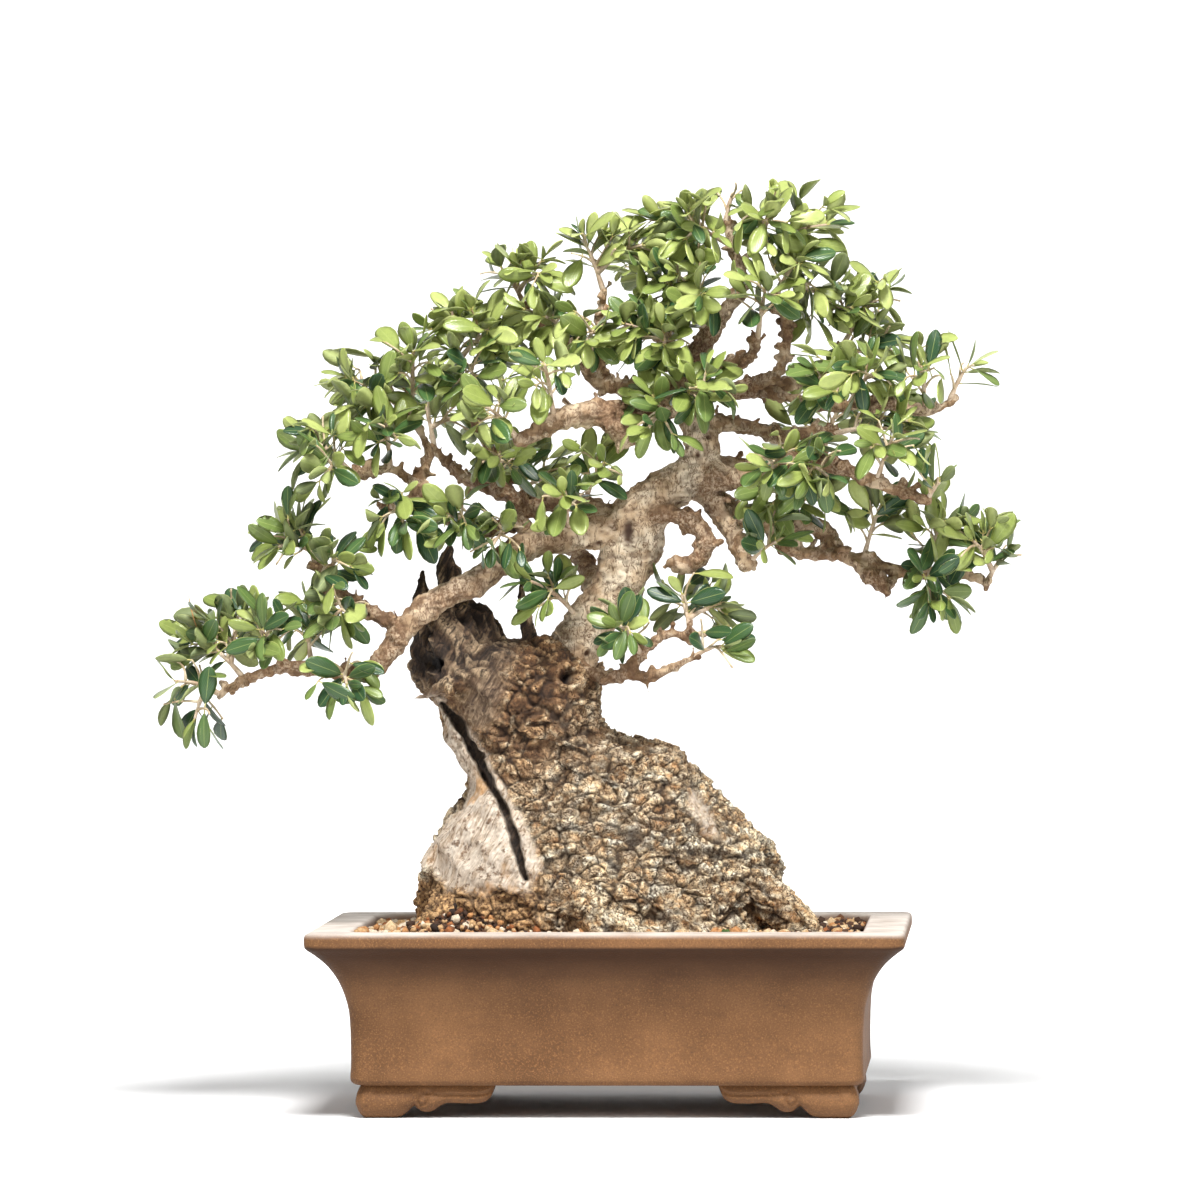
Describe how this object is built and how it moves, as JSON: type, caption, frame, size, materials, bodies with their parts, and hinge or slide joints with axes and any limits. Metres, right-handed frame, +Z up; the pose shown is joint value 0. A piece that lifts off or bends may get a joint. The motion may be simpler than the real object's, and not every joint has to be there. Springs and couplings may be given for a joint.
{
  "type": "olive bonsai",
  "caption": "Old olive bonsai in an oblong footed stoneware pot: gnarled stump with deadwood, low left branch and airy leafy crown leaning left.",
  "frame": {"origin": "on the ground under the middle of the whole plant's box; the pot's centre is 16 mm to +X of it", "axes": "+Z up, +X along the pot's length to the right seen from the front, +Y away from the front"},
  "size_m": [0.588, 0.2984, 0.6379],
  "materials": {
    "stoneware": "unglazed brown stoneware, fine grained, matte",
    "screen": "black plastic mesh",
    "soil": "granular bonsai soil, tan, cream and orange grains",
    "bark": "cork bark, pale smooth limbs and bleached deadwood",
    "foliage": "leathery olive leaves, glossy above, on pale twigs"
  },
  "bodies": {
    "root": {"drain_screen_left": "screen", "drain_screen_right": "screen", "pot": "stoneware", "soil": "soil", "spray_01": "foliage", "spray_02": "foliage", "spray_03": "foliage", "spray_04": "foliage", "spray_05": "foliage", "spray_06": "foliage", "spray_07": "foliage", "spray_08": "foliage", "spray_09": "foliage", "spray_10": "foliage", "spray_11": "foliage", "spray_12": "foliage", "spray_13": "foliage", "spray_14": "foliage", "spray_15": "foliage", "spray_16": "foliage", "spray_17": "foliage", "spray_18": "foliage", "spray_19": "foliage", "spray_20": "foliage", "spray_21": "foliage", "spray_22": "foliage", "spray_23": "foliage", "spray_24": "foliage", "spray_25": "foliage", "spray_26": "foliage", "spray_27": "foliage", "spray_28": "foliage", "spray_29": "foliage", "spray_30": "foliage", "spray_31": "foliage", "spray_32": "foliage", "spray_33": "foliage", "spray_34": "foliage", "spray_35": "foliage", "spray_36": "foliage", "spray_37": "foliage", "spray_38": "foliage", "spray_39": "foliage", "spray_40": "foliage", "spray_41": "foliage", "spray_42": "foliage", "spray_43": "foliage", "spray_44": "foliage", "spray_45": "foliage", "spray_46": "foliage", "spray_47": "foliage", "spray_48": "foliage", "spray_49": "foliage", "spray_50": "foliage", "spray_51": "foliage", "spray_52": "foliage", "spray_53": "foliage", "spray_54": "foliage", "spray_55": "foliage", "trunk": "bark"}
  },
  "joints": []
}
